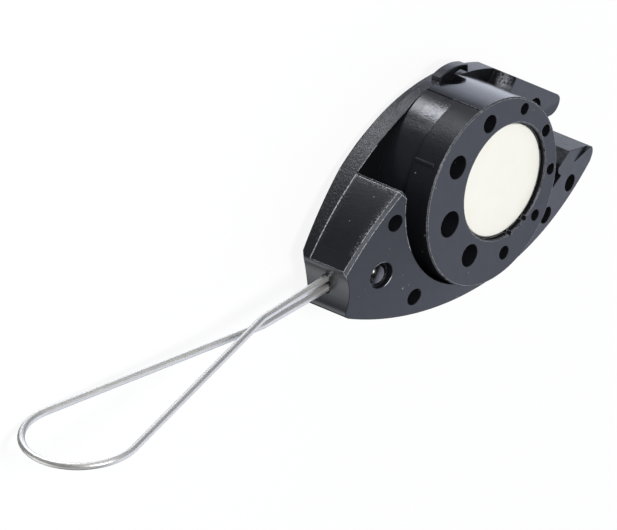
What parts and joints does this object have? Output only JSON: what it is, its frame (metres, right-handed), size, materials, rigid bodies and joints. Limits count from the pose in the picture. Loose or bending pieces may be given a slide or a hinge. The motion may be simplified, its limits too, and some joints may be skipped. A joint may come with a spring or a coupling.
{
  "type": "cable anchoring clamp",
  "caption": "Dark moulded clamp with a round drum that a drop cable wraps round, a pale disc in the drum face and a steel wire bail with a teardrop eye to hang it by.",
  "frame": {"origin": "on the drum's axis, in the plane of the flat back", "axes": "+X from the bail towards the tail, +Y from the lower wall towards the lip, +Z out of the drum's face"},
  "size_m": [0.2326, 0.0621, 0.0366],
  "materials": {
    "body_plastic": "dark grey moulded plastic, finely grained on the sides, smooth on the drum",
    "disc_plastic": "plain ivory plastic",
    "pin_metal": "smooth domed head",
    "bail_wire": "bright drawn stainless wire"
  },
  "bodies": {
    "root": {"clamp_body": "body_plastic", "marker_disc": "disc_plastic", "bail_pin": "pin_metal", "wire_bail": "bail_wire"}
  },
  "joints": []
}
